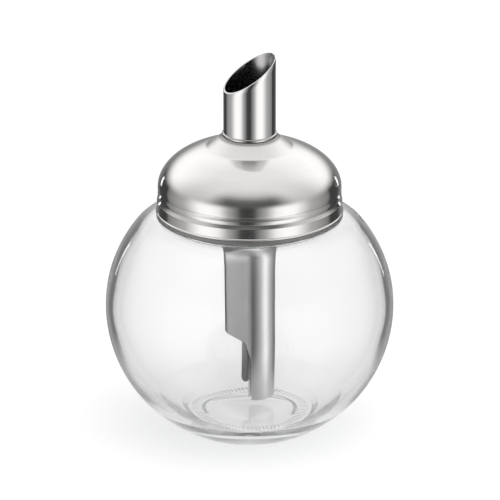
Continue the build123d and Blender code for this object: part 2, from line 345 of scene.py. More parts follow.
def jar_outside(rim_round):
    """Outline of the glass from under its base out, up its side and over its rim."""
    side = ball_line(0, 0, HEEL_ROUND)
    foot = [(0, HOLLOW_DEPTH)]
    foot += rounded_line([(0, HOLLOW_DEPTH), (HOLLOW_RADIUS - HOLLOW_DEPTH, HOLLOW_DEPTH, HOLLOW_ROUND),
                          (HOLLOW_RADIUS, 0, RING_ROUND), (RING_RADIUS, 0)], steps=3)[1:]
    foot += [(radius, 0) for radius in np.linspace(RING_RADIUS, side[0][0], 6)[1:-1]]
    inner = NECK_RADIUS - WALL
    neck = rounded_line([side[-1], (NECK_RADIUS, NECK_FOOT, NECK_FOOT_ROUND), (NECK_RADIUS, RIM, rim_round),
                         (inner, RIM, rim_round), (inner, RIM - 3)])
    # The rings of points lie closer together where the ridges swell.
    rise = [point for point in neck[1:] if point[1] < RIDGE_BOTTOM - 0.5]
    ridge = [(NECK_RADIUS, height) for height in np.linspace(RIDGE_BOTTOM - 0.3, RIDGE_TOP + 0.3, 14)]
    rim = [point for point in neck if point[1] > RIDGE_TOP + 0.7]
    return foot + side + rise + ridge + rim


def jar_inside():
    """Outline of the glass inside, from below the rim down to the middle of the floor."""
    wall = [point for point in ball_line(WALL, SLOPE_TOP, 0.1) if point[1] > SLOPE_TOP + 0.2]
    clear = [point for point in wall if point[1] > SLOPE_TOP + 3]
    slope = rounded_line([(FLOOR_RADIUS - 5, BASE), (FLOOR_RADIUS, BASE, FLOOR_ROUND),
                          (*wall[0], SLOPE_ROUND), clear[0]], steps=8)
    rising = slope + clear[1:]
    inner = NECK_RADIUS - WALL
    mouth = rounded_line([(inner, RIM - 4), (inner, NECK_FOOT - WALL, MOUTH_ROUND), rising[-1]], steps=8)
    return mouth + rising[::-1][1:] + [(12, BASE), (6, BASE), (0, BASE)]


def make_jar_mesh(wave, teeth, tooth_depth, rim_round):
    """The ball-shaped glass, with ridges on its neck and fine teeth under its standing ring."""
    outside = jar_outside(rim_round)
    profile = outside + jar_inside()

    def waved(angles, reach, radius, height):
        """Inner wall, a little uneven between the floor and the neck."""
        drift = sum(strength * np.sin(lobes * angles + pitch * height + start)
                    for strength, lobes, pitch, start in WAVES)
        fade = soft_step(height, BASE, BASE + 8) * soft_step(radius, 10, 30)
        return reach + wave * drift * fade

    def bend(number, angles, reach, level):
        """Move one ring of points: waves inside, ridges on the neck, teeth under the base."""
        radius, height = profile[number]
        if number >= len(outside):
            if height < RIM - 6:
                reach = waved(angles, reach, radius, height)
            return reach, level
        if RIDGE_BOTTOM < height < RIDGE_TOP and abs(radius - NECK_RADIUS) < 0.01:
            across = min(height - RIDGE_BOTTOM, RIDGE_TOP - height)
            swell = RIDGE_DEPTH * float(soft_step(across, -0.1, RIDGE_RISE))
            turn = np.abs((np.degrees(angles) + 45) % 90 - 45)
            reach = reach + swell * (1 - soft_step(turn, RIDGE_SPAN / 2 - RIDGE_RUN_OUT, RIDGE_SPAN / 2))
        if height < 0.05 and radius > TEETH_START[0]:
            across = float(soft_step(radius, *TEETH_START) * (1 - soft_step(radius, *TEETH_END)))
            level = level + tooth_depth * across * (np.cos(angles * teeth) * 0.5 + 0.5)
        return reach, level

    points, faces = turned_mesh(profile, teeth * POINTS_PER_TOOTH, bend)
    return new_piece("jar", points, faces, sharp=50)


# ---------------- lid ----------------

def lid_outline():
    """Outer face of the lid's sheet from the rolled edge up to the spout."""
    # Radius, height and rounding: the rolled edge, the skirt, the two grooves and the bead between them.
    lower = rounded_line([
        (SKIRT_RADIUS - SHEET, BAND_BOTTOM + 0.15), (SKIRT_RADIUS - 0.25, BAND_BOTTOM, 0.12),
        (BAND_RADIUS - 0.1, BAND_BOTTOM, 0.2), (BAND_RADIUS, BAND_TOP - 0.35, 0.3),
        (SKIRT_RADIUS - 0.05, BAND_TOP - 0.2, 0.06), (SKIRT_RADIUS + 0.4, BAND_TOP, 0.18),
        (SKIRT_RADIUS + 0.3, BAND_TOP + 0.35, 0.2), (SKIRT_RADIUS, BAND_TOP + 0.6, 0.3),
        (SKIRT_RADIUS, SKIRT_TOP, CREASE), (GROOVE_RADIUS, BEAD_BOTTOM, 0.12),
        (DOME_RADIUS, BEAD_BOTTOM + 0.25, CREASE), (DOME_RADIUS, BEAD_TOP, CREASE),
        (GROOVE_RADIUS, DOME_FOOT - 0.3, 0.15), (DOME_RADIUS, DOME_FOOT, 0.15),
        (DOME_RADIUS, DOME_FOOT + 0.5)], steps=4)
    cone_foot = (CONE_FOOT_RADIUS, CONE_TOP - CONE_SLOPE * (CONE_FOOT_RADIUS - HOLE_RADIUS))
    dome = bezier_line([(DOME_RADIUS, DOME_FOOT + 0.5), (DOME_RADIUS, DOME_FOOT + DOME_RISE), DOME_SHOULDER,
                        cone_foot], steps=40)
    dome = [point for point in dome if point[0] > CONE_FOOT_RADIUS + 1.5]
    cone = rounded_line([dome[-1], (*cone_foot, CONE_FOOT_ROUND), (HOLE_RADIUS, CONE_TOP)], steps=10)
    return lower + dome[1:] + cone[1:]


def make_lid_mesh():
    """The lid, pressed from one sheet and rolled in at its lower edge."""
    outer = lid_outline()
    inner = [point for point in beside(outer, SHEET) if point[1] > BAND_TOP + 1]
    points, faces = turned_mesh(outer + inner[::-1], LID_POINTS)
    return new_piece("lid", points, faces, sharp=35)


# ---------------- tube ----------------

def squeezed_contour():
    """Outline of the squeezed tube, from the wing's edge round the channel and back."""
    fold_x = CHANNEL_X - sqrt((CHANNEL_RADIUS + FOLD_ROUND) ** 2 - (WING_HALF + FOLD_ROUND) ** 2)
    meet = degrees(atan2(WING_HALF + FOLD_ROUND, CHANNEL_X - fold_x))
    front = arc_line((WING_HALF - TUBE_RADIUS, 0), WING_HALF, 180, 270, 8)
    front += [(x, -WING_HALF) for x in np.linspace(WING_HALF - TUBE_RADIUS, fold_x, 40)[1:]]
    front += arc_line((fold_x, -WING_HALF - FOLD_ROUND), FOLD_ROUND, 90, meet, 16)[1:]
    front += arc_line((CHANNEL_X, 0), CHANNEL_RADIUS, 180 + meet, 360, 60)[1:]
    back = [(x, -y) for x, y in front[::-1]]
    return np.array(front + back[1:-1])


def resample(contour, shares):
    """Points at shares of a closed contour's length."""
    closed = np.vstack([contour, contour[:1]])
    along = np.concatenate([[0], np.cumsum(np.linalg.norm(np.diff(closed, axis=0), axis=1))])
    along /= along[-1]
    return np.stack([np.interp(shares, along, closed[:, axis]) for axis in (0, 1)], axis=1)


def outward_of(contour):
    """Unit normals of a closed contour that runs counter-clockwise."""
    along = np.roll(contour, -1, axis=0) - np.roll(contour, 1, axis=0)
    normal = np.stack([along[:, 1], -along[:, 0]], axis=1)
    return normal / np.linalg.norm(normal, axis=1)[:, None]


def column_shares(contour, even=260, fine=8000):
    """Shares of the contour's length where the tube has points: evenly, and where its lower edge steps."""
    closed = resample(contour, np.arange(fine) / fine)
    edges = [(LIP_EDGE - 0.01, 1), (LIP_EDGE + 0.01, 1)]
    edges += [(CHANNEL_EDGE + CHANNEL_STEP * share, side) for share in (0, 0.5, 1) for side in (1, -1)]
    marks = [np.where(closed[:, 1] * side > 0, np.abs(closed[:, 0] - edge), 99).argmin() / fine
             for edge, side in edges]
    return np.unique(np.concatenate([np.linspace(0, 1, even, endpoint=False), marks]))


def foot_heights(contour):
    """Height of the squeezed tube's lower edge at each point of its contour."""
    side = -TUBE_RADIUS - 0.3
    wing = rounded_line([(side, FUNNEL_BOTTOM), (side, WING_CORNER, WING_CORNER_ROUND),
                         (WING_FOOT_X, WING_FOOT, WING_FOOT_ROUND), (CHANNEL_EDGE, WING_END)], steps=10)[1:]
    lip = rounded_line([(LIP_EDGE, FUNNEL_BOTTOM), (LIP_EDGE, LIP_FOOT, LIP_ROUND),
                        (CHANNEL_EDGE + 1, LIP_FOOT)], steps=10)[1:]
    x, y = contour[:, 0], contour[:, 1]
    front = np.interp(x, *zip(*wing))
    back = np.where(x > LIP_EDGE, np.interp(x, *zip(*lip)), front)
    sheet = np.where(y > 0, back, front)
    channel = CHANNEL_FOOT + CHANNEL_SLOPE * (x - CHANNEL_X)
    return sheet + (channel - sheet) * soft_step(x, CHANNEL_EDGE, CHANNEL_EDGE + CHANNEL_STEP)


def tube_sheet():
    """Points and faces of the sheet: round above, squeezed to a channel and a flat wing below."""
    squeezed = squeezed_contour()
    shares = column_shares(squeezed)
    low = resample(squeezed, shares)
    turn = pi + 2 * pi * shares
    high = TUBE_RADIUS * np.stack([np.cos(turn), np.sin(turn)], axis=1)
    low_out, high_out = outward_of(low), outward_of(high)
    foot = foot_heights(low)

    def row(height, depth):
        """One point of every column, at its own height and at a depth inside the outer face."""
        height = np.zeros(len(shares)) + height
        share = soft_step(height, FUNNEL_BOTTOM, FUNNEL_TOP)[:, None]
        outside = low * (1 - share) + high * share
        normal = low_out * (1 - share) + high_out * share
        normal /= np.linalg.norm(normal, axis=1)[:, None]
        return np.column_stack([outside - normal * depth, height])

    def cut_row(depth, drop):
        """The slanting cut of the mouth, followed at a depth inside the sheet."""
        spots = row(MOUTH, depth)
        return np.column_stack([spots[:, :2], MOUTH + spots[:, 0] * MOUTH_SLOPE - drop])

    def foot_row(depth, lift):
        """The lower edge, followed at a depth inside the sheet."""
        return np.column_stack([row(foot, depth)[:, :2], foot + lift])

    start = foot + EDGE_ROUND
    lower = FUNNEL_BOTTOM - FUNNEL_MARGIN
    upper = FUNNEL_TOP + FUNNEL_MARGIN
    end = MOUTH + high[:, 0] * MOUTH_SLOPE - EDGE_ROUND
    below, within, above = [np.linspace(0, 1, number) for number in TUBE_ROWS]
    # The power brings the rows closer together near the lower edge.
    levels = [start + (lower - start) * share for share in below ** 1.3]
    levels += [lower + (upper - lower) * share for share in within[1:]]
    levels += [upper + (end - upper) * share for share in above[1:]]
    rows = [row(level, 0) for level in levels]
    rows += [cut_row(TUBE_WALL * share, drop) for share, drop in MOUTH_EDGE]
    rows += [row(level, TUBE_WALL) for level in levels[::-1]]
    rows += [foot_row(TUBE_WALL * share, lift) for share, lift in FOOT_EDGE]
    count = len(shares)
    rings = [list(range(number * count, (number + 1) * count)) for number in range(len(rows))]
    return np.vstack(rows), joined_rings(rings)


def flap_stop():
    """Points and faces of the small ledge in the tube that the flap rests on."""
    wall = TUBE_WALL - TUBE_RADIUS
    side = STOP_WIDTH / 2
    tip = wall + STOP_REACH
    outline = [(wall - 0.1, -side), (tip - STOP_CHAMFER, -side), (tip, STOP_CHAMFER - side),
               (tip, side - STOP_CHAMFER), (tip - STOP_CHAMFER, side), (wall - 0.1, side)]
    points = [(x, y, height) for x, y in outline for height in (STOP_TOP - STOP_HEIGHT, STOP_TOP)]
    under = list(range(0, len(points), 2))
    faces = [[one, two, two + 1, one + 1] for one, two in zip(under, under[1:] + under[:1])]
    faces.append([number + 1 for number in under])
    faces.append(under[::-1])
    return points, faces


def make_tube_mesh():
    """Spout and dosing tube in one sheet, with the flap's ledge inside."""
    points, faces = tube_sheet()
    ledge, ledge_faces = flap_stop()
    faces += [[number + len(points) for number in face] for face in ledge_faces]
    return new_piece("tube", np.vstack([points, ledge]), faces, sharp=35)


# ---------------- materials ----------------

def shade(colour, share=1.0):
    """A colour as a socket takes it, made darker by a share."""
    return (*[part * share for part in colour], 1)


def labelled(values):
    """Values under the labels of sockets, which have spaces where names have underscores."""
    return {name.replace("_", " "): value for name, value in values.items()}


class Nodes:
    """Adds nodes to a tree and links them as they are made."""

    def __init__(self, tree):
        self.tree = tree

    def feed(self, socket, value):
        """Link an output to a socket, or set the socket's own value."""
        if isinstance(value, bpy.types.NodeSocket):
            self.tree.links.new(value, socket)
        else:
            socket.default_value = value

    def add(self, kind, inputs=None, **settings):
        """A node with its settings made and its inputs fed."""
        node = self.tree.nodes.new(kind)
        for name, value in settings.items():
            setattr(node, name, value)
        for name, value in (inputs or {}).items():
            self.feed(node.inputs[name], value)
        return node

    def math(self, operation, *values):
        """Result of a Math node."""
        return self.add("ShaderNodeMath", dict(enumerate(values)), operation=operation).outputs[0]

    def raised(self, value, mask, amount):
        """A value raised by an amount where a mask is 1."""
        return self.math("ADD", value, self.math("MULTIPLY", mask, amount))

    def vector(self, operation, *values):
        """Result of a Vector Math node."""
        node = self.add("ShaderNodeVectorMath", dict(enumerate(values)), operation=operation)
        return node.outputs["Value" if operation in ("LENGTH", "DOT_PRODUCT") else "Vector"]

    def scaled(self, vector, factor):
        """A vector times a number."""
        return self.add("ShaderNodeVectorMath", {0: vector, "Scale": factor}, operation="SCALE").outputs[0]

    def split(self, place):
        """The three parts of a vector, and its flat part along the floor."""
        parts = self.add("ShaderNodeSeparateXYZ", {0: place}).outputs
        return parts, self.add("ShaderNodeCombineXYZ", {0: parts[0], 1: parts[1]}).outputs[0]

    def place(self):
        """Place on the piece, in metres from the piece's own origin."""
        return self.add("ShaderNodeTexCoord").outputs["Object"]

    def noise(self, place, scale, result="Fac", **inputs):
        """Cloudy noise."""
        return self.add("ShaderNodeTexNoise", {"Vector": place, "Scale": scale, **inputs}).outputs[result]

    def spread(self, value, low, high, new_low, new_high, kind="SMOOTHSTEP"):
        """A value moved from one range to another."""
        ranges = {"Value": value, "From Min": low, "From Max": high, "To Min": new_low, "To Max": new_high}
        return self.add("ShaderNodeMapRange", ranges, interpolation_type=kind).outputs["Result"]

    def ramp(self, value, stops):
        """Colours at places from 0 to 1."""
        node = self.add("ShaderNodeValToRGB", {"Fac": value})
        elements = node.color_ramp.elements
        while len(elements) < len(stops):
            elements.new(0.5)
        for element, (place, colour) in zip(elements, stops):
            element.position = place
            element.color = (*colour, 1)
        return node.outputs["Color"]

    def blend(self, share, first, second):
        """The first colour where the share is 0, and the second where it is 1."""
        return self.add("ShaderNodeMix", {0: share, 6: first, 7: second}, data_type="RGBA").outputs[2]

    def principled(self, tone, gloss, relief, depth, metallic=0.0, **more):
        """Principled shader with fine relief, as deep as a distance in metres."""
        bump = self.add("ShaderNodeBump", {"Height": relief, "Strength": 1.0, "Distance": depth})
        inputs = {"Base Color": tone, "Metallic": metallic, "Roughness": gloss, "Normal": bump.outputs[0]}
        return self.add("ShaderNodeBsdfPrincipled", {**inputs, **labelled(more)})


def new_group(name, inputs, outputs):
    """Shader node group with named numbers going in and coming out."""
    group = bpy.data.node_groups.new(name, "ShaderNodeTree")
    for label, default in inputs.items():
        socket = group.interface.new_socket(label, in_out="INPUT", socket_type="NodeSocketFloat")
        socket.default_value = default
    for label in outputs:
        group.interface.new_socket(label, in_out="OUTPUT", socket_type="NodeSocketFloat")
    nodes = Nodes(group)
    return nodes, nodes.add("NodeGroupInput").outputs, nodes.add("NodeGroupOutput").inputs


def spun_lines_group():
    """Fine rings that a lathe or a polishing wheel leaves round the upright axis."""
    nodes, given, result = new_group("spun lines", {"Lines per mm": 6.0}, ["Height", "Mask"])
    place = nodes.place()
    parts, flat = nodes.split(place)
    scale = nodes.math("MULTIPLY", given["Lines per mm"], 1 / MM)
    along = nodes.raised(parts[2], nodes.vector("LENGTH", flat), -0.7)
    across = nodes.add("ShaderNodeCombineXYZ", {2: nodes.math("MULTIPLY", along, scale)}).outputs[0]
    spot = nodes.vector("ADD", nodes.scaled(nodes.vector("NORMALIZE", flat), 1.1), across)
    fine = nodes.noise(spot, 1.0, Detail=3.0, Roughness=0.6)
    lines = nodes.spread(fine, 0.3, 0.7, 0.0, 1.0)
    patches = nodes.spread(nodes.noise(place, 90.0, Detail=2.0), 0.3, 0.7, 0.4, 1.0)
    patchy = nodes.math("MULTIPLY", lines, patches)
    nodes.feed(result["Height"], nodes.raised(nodes.math("MULTIPLY", lines, 0.5), patchy, 0.5))
    nodes.feed(result["Mask"], patchy)
    return nodes.tree


def drawn_lines_group():
    """Fine lines along a tube, as drawing and brushing leave them."""
    nodes, given, result = new_group("drawn lines", {"Lines per mm": 8.0}, ["Height", "Mask"])
    place = nodes.place()
    scale = nodes.math("MULTIPLY", given["Lines per mm"], 1 / MM)
    spot = nodes.scaled(nodes.vector("MULTIPLY", place, (1.0, 1.0, 0.012)), scale)
    lines = nodes.spread(nodes.noise(spot, 0.35, Detail=3.0, Roughness=0.65), 0.3, 0.7, 0.0, 1.0)
    patches = nodes.spread(nodes.noise(place, 160.0, Detail=3.0), 0.3, 0.7, 0.5, 1.0)
    nodes.feed(result["Height"], lines)
    nodes.feed(result["Mask"], nodes.math("MULTIPLY", lines, patches))
    return nodes.tree


def handling_group():
    """Soft cloudy smudges and sparse fine scratches from wiping and handling."""
    nodes, given, result = new_group("handling", {"Size": 60.0}, ["Smudges", "Scratches"])
    place = nodes.place()
    cloud = nodes.noise(place, given["Size"], Detail=4.0, Roughness=0.55, Distortion=0.4)
    nodes.feed(result["Smudges"], nodes.spread(cloud, 0.42, 0.68, 0.0, 1.0))
    bent = nodes.vector("MULTIPLY", nodes.noise(place, 55.0, "Color"), (0.012, 0.012, 0.012))
    cells = nodes.add("ShaderNodeTexVoronoi", {"Vector": nodes.vector("ADD", place, bent), "Scale": 260.0},
                      feature="DISTANCE_TO_EDGE").outputs["Distance"]
    thin = nodes.spread(cells, 0.0, 0.012, 1.0, 0.0)
    sparse = nodes.spread(nodes.noise(place, 210.0, Detail=1.0), 0.56, 0.66, 0.0, 1.0)
    nodes.feed(result["Scratches"], nodes.math("MULTIPLY", thin, sparse))
    return nodes.tree


def grouped(nodes, name, maker, **values):
    """Outputs of a shared group, which is made on its first use, with its inputs set."""
    tree = bpy.data.node_groups.get(name) or maker()
    return nodes.add("ShaderNodeGroup", labelled(values), node_tree=tree).outputs


def handled(nodes, marks, gloss, smudged, scratched):
    """Roughness raised by smudges and by scratches."""
    return nodes.raised(nodes.raised(gloss, marks["Smudges"], smudged), marks["Scratches"], scratched)


def new_material(name):
    """Empty material with its output node and a helper that adds to it."""
    material = bpy.data.materials.new(name)
    material.use_nodes = True
    material.node_tree.nodes.clear()
    nodes = Nodes(material.node_tree)
    return material, nodes, nodes.add("ShaderNodeOutputMaterial").inputs["Surface"]


def steel(name, colour, roughness, line_depth, lines=0.5, along=False, density=6.0, stretch=0.0, shade_and_wear=None):
    """Stainless steel with fine lines, smudges, a few scratches and, where asked for, painted shade and worn
    zones.
    """
    material, nodes, surface = new_material(name)
    group = ("drawn lines", drawn_lines_group) if along else ("spun lines", spun_lines_group)
    grain = grouped(nodes, *group, Lines_per_mm=density)
    marks = grouped(nodes, "handling", handling_group)
    tone = nodes.blend(nodes.math("MULTIPLY", grain["Mask"], 0.25), shade(colour), shade(colour, 0.82))
    gloss = nodes.raised(roughness, grain["Mask"], roughness * lines)
    gloss = handled(nodes, marks, gloss, smudged=0.035, scratched=0.12)
    if shade_and_wear:
        dark, rough = shade_and_wear(nodes)
        # Painted shade: the mask darkens the steel to a share of its colour.
        tone = nodes.blend(dark, tone, shade(colour, 0.42))
        gloss = nodes.math("ADD", gloss, rough)
    relief = nodes.math("SUBTRACT", grain["Height"], nodes.math("MULTIPLY", marks["Scratches"], 1.5))
    shader = nodes.principled(tone, gloss, relief, line_depth, metallic=1.0, Anisotropic=stretch)
    if stretch:
        tangent = nodes.add("ShaderNodeTangent", direction_type="RADIAL", axis="Z")
        nodes.feed(shader.inputs["Tangent"], tangent.outputs[0])
    nodes.feed(surface, shader.outputs[0])
    return material


def lid_shade_and_wear(nodes):
    """Dark with painted shade at the lid's rolled edge, for the dark it reflects from below, and with a
    painted shadow at the spout's foot; rough at the edge and where hands rub.
    """
    parts, flat = nodes.split(nodes.place())
    from_axis = nodes.vector("LENGTH", flat)
    # Painted shade on the rolled edge, in place of the dark that it reflects from below; the edge is rougher
    # too.
    edge = nodes.spread(parts[2], (BAND_TOP - 0.2) * MM, (BAND_TOP - 0.05) * MM, 1.0, 0.0)
    # Painted shadow round the spout's foot, on the cone.
    painted_foot_shadow = nodes.spread(from_axis, *[radius * MM for radius in FOOT_SHADOW_FADE], 1.15, 0.0)
    rubbed = nodes.spread(from_axis, *[radius * MM for radius in RUBBED_FADE], 0.2, 0.0)
    return nodes.math("MAXIMUM", edge, painted_foot_shadow), nodes.raised(rubbed, edge, 0.4)


def tube_steel(name, colour, polished, satin, change):
    """Steel tube: mirror-polished above a height, drawn and satin below it, rougher inside and on the wing,
    darkened there with painted shade.
    """
    material, nodes, surface = new_material(name)
    parts, flat = nodes.split(nodes.place())
    bright = nodes.spread(parts[2], change - 4 * MM, change, 0.0, 1.0)
    strength = nodes.spread(bright, 0.0, 1.0, 1.0, 0.06, "LINEAR")

    # The pressed wing, and what lies between its two sheets.
    below = nodes.spread(parts[2], (FUNNEL_BOTTOM - 3) * MM, (FUNNEL_TOP - 4) * MM, 1.0, 0.0)
    pressed = nodes.math("MULTIPLY", below, nodes.spread(parts[0], -1.2 * MM, 0.2 * MM, 1.0, 0.0))
    from_middle = nodes.math("ABSOLUTE", parts[1])
    within = nodes.math("MULTIPLY", pressed, nodes.spread(from_middle, 0.25 * MM, 0.4 * MM, 1.0, 0.0))
    middle = (TUBE_RADIUS - TUBE_WALL / 2) * MM
    bore = nodes.spread(nodes.vector("LENGTH", flat), middle - 0.1 * MM, middle + 0.1 * MM, 1.0, 0.0)
    bore = nodes.math("MULTIPLY", bore, bright)
    # Darker towards the tube's lower end.
    foot = nodes.spread(parts[2], 12 * MM, 30 * MM, 0.14, 0.0)
    # Painted shade: the wing is darkened in place of the darker reflection it shows, and the faces between
    # the sheets and the inside of the spout in place of the shade in them.
    painted_dark = nodes.raised(nodes.math("MULTIPLY", pressed, 0.68), within, 0.25)
    painted_dark = nodes.raised(nodes.math("ADD", painted_dark, foot), bore, 0.5)

    grain = grouped(nodes, "drawn lines", drawn_lines_group, Lines_per_mm=7.0)
    marks = grouped(nodes, "handling", handling_group)
    lines = nodes.math("MULTIPLY", grain["Mask"], strength)
    tone = nodes.blend(nodes.math("MULTIPLY", lines, 0.35), shade(colour), shade(colour, 0.8))
    # Painted shade darkens the tube's tone by that mask.
    tone = nodes.blend(painted_dark, tone, shade(colour, 0.2))
    gloss = nodes.spread(bright, 0.0, 1.0, satin, polished, "LINEAR")
    for mask, amount in ((pressed, 0.08), (bore, 0.13), (lines, 0.08)):
        gloss = nodes.raised(gloss, mask, amount)
    gloss = handled(nodes, marks, gloss, smudged=0.025, scratched=0.1)
    relief = nodes.math("MULTIPLY", grain["Height"], strength)
    relief = nodes.math("SUBTRACT", relief, nodes.math("MULTIPLY", marks["Scratches"], 0.5))
    shader = nodes.principled(tone, gloss, relief, 0.004 * MM, metallic=1.0)
    nodes.feed(surface, shader.outputs[0])
    return material


def clear_glass(name, tint, smoothness):
    """Pressed clear glass that lets lamp light through, and lets out most light caught in its walls."""
    material, nodes, surface = new_material(name)
    marks = grouped(nodes, "handling", handling_group, Size=45.0)
    ripple = nodes.noise(nodes.place(), 30.0, Detail=1.0)
    gloss = handled(nodes, marks, smoothness, smudged=0.012, scratched=0.03)
    shader = nodes.principled(shade(tint), gloss, ripple, 0.06 * MM, IOR=1.5, Transmission_Weight=1.0)
    clear = nodes.add("ShaderNodeBsdfTransparent", {"Color": (0.93, 0.935, 0.935, 1)})
    rays = nodes.add("ShaderNodeLightPath").outputs
    # Lamp light passes straight through, and so does part of what has bounced in the wall three times.
    passing = nodes.math("MAXIMUM", rays["Is Shadow Ray"], rays["Is Diffuse Ray"])
    caught = nodes.math("GREATER_THAN", rays["Glossy Depth"], 2.5)
    passing = nodes.math("MAXIMUM", passing, nodes.math("MULTIPLY", caught, 0.6))
    mixed = nodes.add("ShaderNodeMixShader", {0: passing, 1: shader.outputs[0], 2: clear.outputs[0]})
    nodes.feed(surface, mixed.outputs[0])
    return material


def moulded(name, colour, roughness, grain, soft):
    """Moulded plastic or rubber with a faint grain, flow marks and dust."""
    material, nodes, surface = new_material(name)
    place = nodes.place()
    marks = grouped(nodes, "handling", handling_group, Size=120.0)
    fine = nodes.noise(place, 3500.0, Detail=2.0)
    flow = nodes.spread(nodes.noise(place, 70.0, Detail=3.0, Distortion=1.0), 0.35, 0.65, 0.0, 1.0)
    gloss = nodes.raised(nodes.raised(roughness, marks["Smudges"], 0.08), fine, 0.06)
    tone = nodes.blend(flow, shade(colour), shade(colour, 0.93))
    shader = nodes.principled(tone, gloss, fine, grain, Subsurface_Weight=soft, Subsurface_Scale=2 * MM)
    nodes.feed(surface, shader.outputs[0])
    return material


def dress(piece, material):
    """Give every face of a piece one material."""
    piece.data.materials.clear()
    piece.data.materials.append(material)


# ---------------- stage ----------------

def studio_world(white, fill):
    """Room round the object: plain to look at, even light on matt surfaces, soft boxes in gloss."""
    world = bpy.data.worlds.new("studio")
    world.use_nodes = True
    world.node_tree.nodes.clear()
    world.cycles.sampling_method = "NONE"
    nodes = Nodes(world.node_tree)
    parts, flat = nodes.split(nodes.add("ShaderNodeTexCoord").outputs["Generated"])
    flat = nodes.vector("NORMALIZE", flat)

    def away(turned):
        """Turn from a direction in front of the object, as a share of half a circle."""
        turn = radians(VIEW_TURN + turned)
        facing = nodes.vector("DOT_PRODUCT", flat, (-sin(turn), -cos(turn), 0.0))
        return nodes.math("DIVIDE", nodes.math("ARCCOSINE", facing), pi)

    def band(place, full, stops):
        """Grey levels at angles, as shares of a full angle."""
        return nodes.ramp(place, [(angle / full, (level * HALVED,) * 3) for angle, level in stops])

    def turn_step(start, end):
        """0 in front of the object and 1 behind it, changing between two angles."""
        return nodes.spread(around, start / 180, end / 180, 0.0, 1.0)

    around = away(0)
    rise = nodes.math("DIVIDE", nodes.math("ARCSINE", parts[2]), pi / 2)
    front, side, back = [band(rise, 90, stops) for stops in (FRONT_ROOM, SIDE_ROOM, BACK_ROOM)]
    high = nodes.blend(turn_step(30, 66), front, side)
    high = nodes.blend(turn_step(86, 136), high, back)
    middle = nodes.spread(around, 40 / 180, 130 / 180, 17 / 90, 12 / 90, "LINEAR")
    above = nodes.spread(nodes.math("SUBTRACT", rise, middle), -10 / 90, 10 / 90, 0.0, 1.0)
    outside = nodes.blend(above, band(away(3), 180, LOW_ROOM), high)
    turn, half_width, height, half_height = WINDOW
    window = nodes.math("MULTIPLY", nodes.math("COMPARE", around, turn / 180, half_width / 180),
                        nodes.math("COMPARE", rise, height / 90, half_height / 90))
    outside = nodes.blend(window, outside, shade(WINDOW_COLOUR, HALVED))

    inside = nodes.blend(turn_step(146, 158), band(away(-28), 180, TUBE_ROOM),
                         shade([TUBE_BACK] * 3, HALVED))
    wall = nodes.blend(nodes.spread(rise, -34 / 90, -24 / 90, 1.0, 0.0), band(around, 180, WALL_ROOM),
                       shade([WALL_FLOOR] * 3, HALVED))

    # Light that went through glass four times comes from the tube inside the jar.
    rays = nodes.add("ShaderNodeLightPath").outputs
    from_tube = nodes.math("COMPARE", rays["Transmission Depth"], 4.0, 0.5)
    from_glass = nodes.math("GREATER_THAN", rays["Transmission Depth"], 0.5)
    studio = nodes.blend(from_tube, nodes.blend(from_glass, outside, wall), inside)
    glossy = nodes.math("GREATER_THAN", rays["Glossy Depth"], 0.5)
    seen = nodes.blend(glossy, shade(white), nodes.scaled(studio, 1 / HALVED))
    seen = nodes.blend(rays["Is Diffuse Ray"], seen, shade([fill] * 3))
    background = nodes.add("ShaderNodeBackground", {"Color": seen, "Strength": 1.0})
    nodes.feed(nodes.add("ShaderNodeOutputWorld").inputs["Surface"], background.outputs[0])
    return world


def floor_material(colour, glow):
    """Pale floor that keeps the shadow, and that polished metal looks past beyond the base."""
    material, nodes, surface = new_material("pale floor")
    place = nodes.place()
    flat = nodes.split(place)[1]
    far = nodes.spread(nodes.vector("LENGTH", flat), 30 * MM, 45 * MM, 0.0, 1.0)
    tone = nodes.blend(nodes.noise(place, 900.0), shade(colour), shade(colour, 0.995))
    matt = nodes.add("ShaderNodeBsdfDiffuse", {"Color": tone})
    rays = nodes.add("ShaderNodeLightPath").outputs
    # The floor is a little darker through the glass.
    dimmed = nodes.spread(rays["Transmission Depth"], 0.5, 1.0, glow, glow * 0.91, "LINEAR")
    light = nodes.add("ShaderNodeEmission", {"Color": (1, 1, 1, 1), "Strength": dimmed})
    both = nodes.add("ShaderNodeAddShader", {0: matt.outputs[0], 1: light.outputs[0]})
    past = nodes.math("MULTIPLY", nodes.math("GREATER_THAN", rays["Glossy Depth"], 0.5), far)
    clear = nodes.add("ShaderNodeBsdfTransparent")
    mixed = nodes.add("ShaderNodeMixShader", {0: past, 1: both.outputs[0], 2: clear.outputs[0]})
    nodes.feed(surface, mixed.outputs[0])
    return material


def make_floor(colour):
    """Round floor under the jar. Its colour and its glow add up to white."""
    angles = [2 * pi * side / FLOOR_SIDES for side in range(FLOOR_SIDES)]
    ring = [(FLOOR_REACH * cos(angle), FLOOR_REACH * sin(angle), -FLOOR_DROP) for angle in angles]
    floor = new_piece("floor", ring, [list(range(FLOOR_SIDES))])
    if floor.data.polygons[0].normal.z < 0:
        floor.data.flip_normals()
    glow = 1 - colour[0]
    dress(floor, floor_material(colour, glow))
    return floor


def aimed(name, data, place, aim):
    """A lamp or a camera in the scene, turned from its place toward a point."""
    holder = bpy.data.objects.new(name, data)
    bpy.context.scene.collection.objects.link(holder)
    holder.location = place
    holder.rotation_euler = (aim - holder.location).to_track_quat("-Z", "Y").to_euler()
    return holder


def make_lamp(power):
    """Soft round lamp overhead, which gloss and glass don't see."""
    lamp = bpy.data.lights.new("overhead lamp", "AREA")
    lamp.shape = "DISK"
    lamp.size = LAMP_SIZE
    lamp.energy = power
    holder = aimed("overhead lamp", lamp, LAMP_PLACE, Vector((0, 0, 0)))
    holder.visible_glossy = False
    holder.visible_camera = False
    holder.visible_transmission = False


